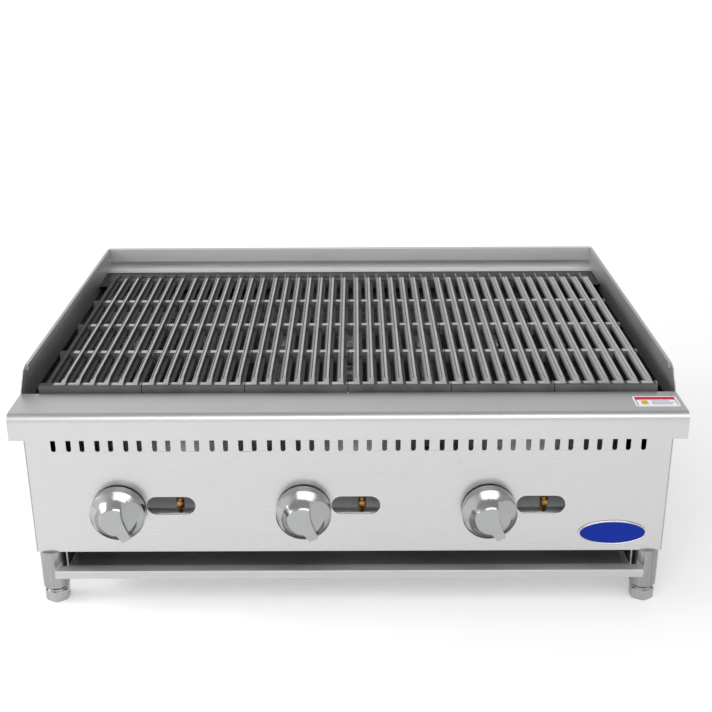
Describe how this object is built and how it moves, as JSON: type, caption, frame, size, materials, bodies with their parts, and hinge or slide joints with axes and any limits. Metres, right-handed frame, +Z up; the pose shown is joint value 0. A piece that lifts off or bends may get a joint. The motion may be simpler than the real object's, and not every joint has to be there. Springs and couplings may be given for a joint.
{
  "type": "charbroiler grill",
  "caption": "Countertop gas radiant charbroiler with cast-iron top grates, U-tube burners, control knobs, splash guards, short legs and a pull-out drip tray.",
  "frame": {"origin": "on the bench under the middle of the appliance's box", "axes": "+X to the right seen from the controls, +Y to the rear, +Z up"},
  "size_m": [0.914, 0.701, 0.361],
  "materials": {
    "panel_steel": "fine horizontal brushing, light grey",
    "rail_steel": "fine horizontal brushing, light grey",
    "casing_steel": "fine brushing, grey",
    "splash_steel": "fine horizontal brushing, mid grey",
    "firebox_steel": "mill finish sheet",
    "grate_iron": "as-cast, dark, worn lighter along the bar tops",
    "radiant_steel": "mill finish, faintly heat tinted",
    "burner_steel": "mill finish tube",
    "pipe_steel": "zinc plated pipe",
    "valve_brass": "machined brass",
    "spindle_steel": "turned steel",
    "knob_chrome": "satin chrome on die-cast metal",
    "pilot_tube_steel": "drawn tube",
    "leg_steel": "satin",
    "foot_steel": "satin",
    "base_steel": "mill finish sheet",
    "tray_steel": "satin, dull inside",
    "badge_blue": "domed resin, dark blue",
    "label_stock": "laminated white label with a red band",
    "screw_steel": "bright"
  },
  "bodies": {
    "casing": {"front_panel": "panel_steel", "front_rail": "rail_steel", "left_side_panel": "casing_steel", "right_side_panel": "casing_steel", "back_panel": "casing_steel", "backsplash": "splash_steel", "firebox_front_wall": "firebox_steel", "firebox_rear_wall": "firebox_steel", "firebox_left_wall": "firebox_steel", "firebox_right_wall": "firebox_steel", "radiant_1": "radiant_steel", "radiant_2": "radiant_steel", "radiant_3": "radiant_steel", "radiant_4": "radiant_steel", "radiant_5": "radiant_steel", "radiant_6": "radiant_steel", "burner_1": "burner_steel", "burner_2": "burner_steel", "burner_3": "burner_steel", "manifold_pipe": "pipe_steel", "gas_inlet_pipe": "pipe_steel", "gas_valve_1": "valve_brass", "gas_valve_2": "valve_brass", "gas_valve_3": "valve_brass", "pilot_valve_1": "valve_brass", "pilot_valve_2": "valve_brass", "pilot_valve_3": "valve_brass", "pilot_burners": "pilot_tube_steel", "leg_front_left": "leg_steel", "leg_front_right": "leg_steel", "leg_rear_left": "leg_steel", "leg_rear_right": "leg_steel", "base_rail_left": "base_steel", "base_rail_right": "base_steel", "badge_plate": "badge_blue", "caution_label": "label_stock", "casing_screws": "screw_steel"},
    "knob_1_set": {"knob_1": "knob_chrome", "valve_stem_1": "spindle_steel"},
    "knob_2_set": {"knob_2": "knob_chrome", "valve_stem_2": "spindle_steel"},
    "knob_3_set": {"knob_3": "knob_chrome", "valve_stem_3": "spindle_steel"},
    "grate_1_lift": {"grate_1": "grate_iron"},
    "grate_2_lift": {"grate_2": "grate_iron"},
    "grate_3_lift": {"grate_3": "grate_iron"},
    "grate_4_lift": {"grate_4": "grate_iron"},
    "grate_5_lift": {"grate_5": "grate_iron"},
    "grate_6_lift": {"grate_6": "grate_iron"},
    "shutter_1": {"air_shutter_1": "burner_steel"},
    "shutter_2": {"air_shutter_2": "burner_steel"},
    "shutter_3": {"air_shutter_3": "burner_steel"},
    "pilot_screw_1_set": {"pilot_screw_1": "valve_brass"},
    "pilot_screw_2_set": {"pilot_screw_2": "valve_brass"},
    "pilot_screw_3_set": {"pilot_screw_3": "valve_brass"},
    "foot_front_left_screw": {"foot_front_left": "foot_steel"},
    "foot_front_right_screw": {"foot_front_right": "foot_steel"},
    "foot_rear_left_screw": {"foot_rear_left": "foot_steel"},
    "foot_rear_right_screw": {"foot_rear_right": "foot_steel"},
    "tray": {"drip_tray": "tray_steel"}
  },
  "joints": [
    {"name": "knob_1_turn", "type": "hinge", "parent": "casing", "child": "knob_1_set", "pos_m": [-0.3305, -0.3105, 0.1545], "axis": [0, -1, 0], "range_deg": [0, 180]},
    {"name": "knob_2_turn", "type": "hinge", "parent": "casing", "child": "knob_2_set", "pos_m": [-0.0645, -0.3105, 0.1545], "axis": [0, -1, 0], "range_deg": [0, 180]},
    {"name": "knob_3_turn", "type": "hinge", "parent": "casing", "child": "knob_3_set", "pos_m": [0.2015, -0.3105, 0.1545], "axis": [0, -1, 0], "range_deg": [0, 180]},
    {"name": "grate_1_lift_off", "type": "slide", "parent": "casing", "child": "grate_1_lift", "axis": [0, 0, 1], "range_m": [0, 0.15]},
    {"name": "grate_2_lift_off", "type": "slide", "parent": "casing", "child": "grate_2_lift", "axis": [0, 0, 1], "range_m": [0, 0.15]},
    {"name": "grate_3_lift_off", "type": "slide", "parent": "casing", "child": "grate_3_lift", "axis": [0, 0, 1], "range_m": [0, 0.15]},
    {"name": "grate_4_lift_off", "type": "slide", "parent": "casing", "child": "grate_4_lift", "axis": [0, 0, 1], "range_m": [0, 0.15]},
    {"name": "grate_5_lift_off", "type": "slide", "parent": "casing", "child": "grate_5_lift", "axis": [0, 0, 1], "range_m": [0, 0.15]},
    {"name": "grate_6_lift_off", "type": "slide", "parent": "casing", "child": "grate_6_lift", "axis": [0, 0, 1], "range_m": [0, 0.15]},
    {"name": "tray_pull", "type": "slide", "parent": "casing", "child": "tray", "axis": [0, -1, 0], "range_m": [0, 0.5]},
    {"name": "air_shutter_1_turn", "type": "hinge", "parent": "casing", "child": "shutter_1", "pos_m": [-0.3305, -0.2305, 0.1545], "axis": [0, -1, 0], "range_deg": [0, 45]},
    {"name": "air_shutter_2_turn", "type": "hinge", "parent": "casing", "child": "shutter_2", "pos_m": [-0.0645, -0.2305, 0.1545], "axis": [0, -1, 0], "range_deg": [0, 45]},
    {"name": "air_shutter_3_turn", "type": "hinge", "parent": "casing", "child": "shutter_3", "pos_m": [0.2015, -0.2305, 0.1545], "axis": [0, -1, 0], "range_deg": [0, 45]},
    {"name": "pilot_screw_1_turn", "type": "hinge", "parent": "casing", "child": "pilot_screw_1_set", "pos_m": [-0.2465, -0.2705, 0.153], "axis": [0, -1, 0], "range_deg": [-360, 360]},
    {"name": "pilot_screw_2_turn", "type": "hinge", "parent": "casing", "child": "pilot_screw_2_set", "pos_m": [0.0195, -0.2705, 0.153], "axis": [0, -1, 0], "range_deg": [-360, 360]},
    {"name": "pilot_screw_3_turn", "type": "hinge", "parent": "casing", "child": "pilot_screw_3_set", "pos_m": [0.2855, -0.2705, 0.153], "axis": [0, -1, 0], "range_deg": [-360, 360]},
    {"name": "foot_front_left_adjust", "type": "slide", "parent": "casing", "child": "foot_front_left_screw", "axis": [0, 0, -1], "range_m": [0, 0.025]},
    {"name": "foot_front_right_adjust", "type": "slide", "parent": "casing", "child": "foot_front_right_screw", "axis": [0, 0, -1], "range_m": [0, 0.025]},
    {"name": "foot_rear_left_adjust", "type": "slide", "parent": "casing", "child": "foot_rear_left_screw", "axis": [0, 0, -1], "range_m": [0, 0.025]},
    {"name": "foot_rear_right_adjust", "type": "slide", "parent": "casing", "child": "foot_rear_right_screw", "axis": [0, 0, -1], "range_m": [0, 0.025]}
  ]
}
